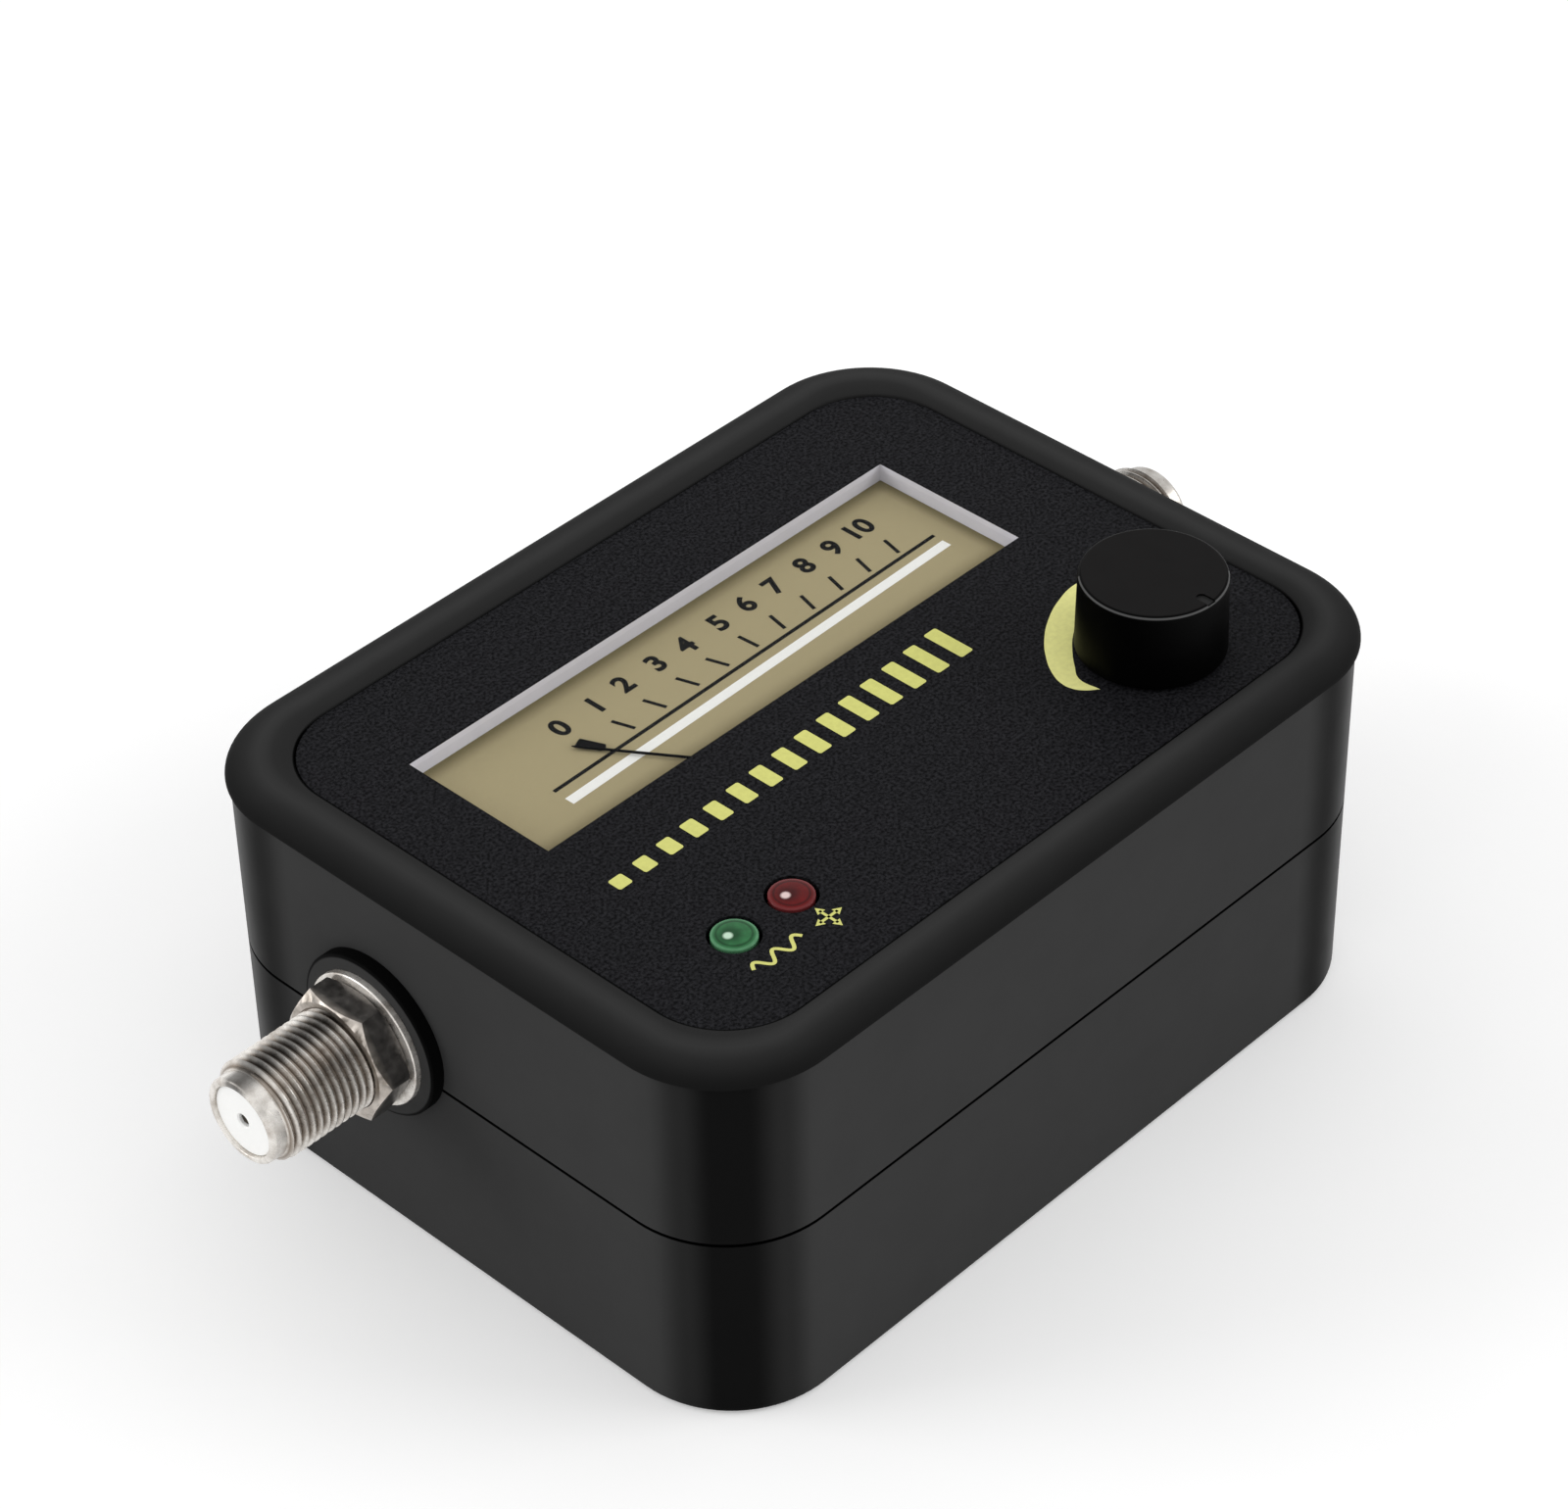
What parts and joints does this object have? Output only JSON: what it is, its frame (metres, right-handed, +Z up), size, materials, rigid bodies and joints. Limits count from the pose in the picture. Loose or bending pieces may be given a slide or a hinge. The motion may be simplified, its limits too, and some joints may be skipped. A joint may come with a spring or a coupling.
{
  "type": "satellite signal meter",
  "caption": "Hand-held satellite signal meter with a long dial window, swinging pointer, gain knob, indicator lamps and coaxial sockets on both ends.",
  "frame": {"origin": "on the base, under the middle of the case", "axes": "+X along the scale from zero to full scale, +Y away from the reader, +Z up through the front panel"},
  "size_m": [0.116, 0.0652, 0.0463],
  "materials": {
    "shell_black": "fine-grained black ABS moulding, satin",
    "label_black": "black printed sheet with a leather-like grain",
    "housing_grey": "light grey moulding",
    "scale_olive": "khaki printed dial, matt",
    "lens_clear": "clear moulded window, polished",
    "pointer_black": "black lacquer",
    "knob_black": "black moulding with a soft sheen",
    "lamp_green": "green tinted clear resin, unlit",
    "lamp_red": "red tinted clear resin, unlit",
    "nickel": "nickel plate over turned brass",
    "steel": "zinc-plated steel",
    "iron": "bare soft iron and magnet steel",
    "brass": "turned and stamped brass",
    "copper": "enamelled copper winding",
    "insulator_white": "white polyethylene",
    "board_green": "green solder mask",
    "wafer_brown": "brown phenolic",
    "component_black": "black moulded component bodies",
    "capacitor_blue": "dark blue sleeve",
    "tinned": "tinned leads"
  },
  "bodies": {
    "case": {"case_top": "shell_black", "case_bottom": "shell_black", "socket_collar_left": "shell_black", "socket_collar_right": "shell_black", "label_sheet": "label_black", "meter_housing": "housing_grey", "scale_plate": "scale_olive", "meter_lens": "lens_clear", "lamp_green": "lamp_green", "lamp_red": "lamp_red", "socket_body_left": "nickel", "socket_body_right": "nickel", "socket_nut_left": "nickel", "socket_nut_right": "nickel", "socket_washer_left": "nickel", "socket_washer_right": "nickel", "case_screw_1": "steel", "case_screw_2": "steel", "case_screw_3": "steel", "case_screw_4": "steel", "board_screw_1": "steel", "board_screw_2": "steel", "board_screw_3": "steel", "board_screw_4": "steel", "pot_bushing": "steel", "pot_can": "steel", "pot_washer": "steel", "pot_nut": "steel", "yoke_ring": "iron", "core_magnet": "iron", "core_pin": "brass", "top_bridge": "brass", "lower_jewel": "brass", "upper_jewel": "brass", "socket_contact_left": "brass", "socket_contact_right": "brass", "choke": "copper", "socket_insulator_left": "insulator_white", "socket_insulator_right": "insulator_white", "circuit_board": "board_green", "pot_wafer": "wafer_brown", "buzzer": "component_black", "detector_chip": "component_black", "logic_chip": "component_black", "regulator": "component_black", "capacitor_large": "capacitor_blue", "capacitor_small": "capacitor_blue", "meter_terminal_left": "tinned", "meter_terminal_right": "tinned", "lamp_green_anode": "tinned", "lamp_green_cathode": "tinned", "lamp_red_anode": "tinned", "lamp_red_cathode": "tinned"},
    "pointer": {"pointer": "pointer_black", "moving_coil": "copper", "hairspring": "brass"},
    "knob": {"knob": "knob_black", "pot_shaft": "steel"}
  },
  "joints": [
    {"name": "pointer_swing", "type": "hinge", "parent": "case", "child": "pointer", "pos_m": [0.0022, -0.02, 0.0369], "axis": [0, 0, 1], "range_deg": [-67.6, 0], "stiffness_Nm_per_rad": 0.00001},
    {"name": "knob_turn", "type": "hinge", "parent": "case", "child": "knob", "pos_m": [0.0242, -0.0186, 0.0387], "axis": [0, 0, 1], "range_deg": [-290, 0]}
  ]
}
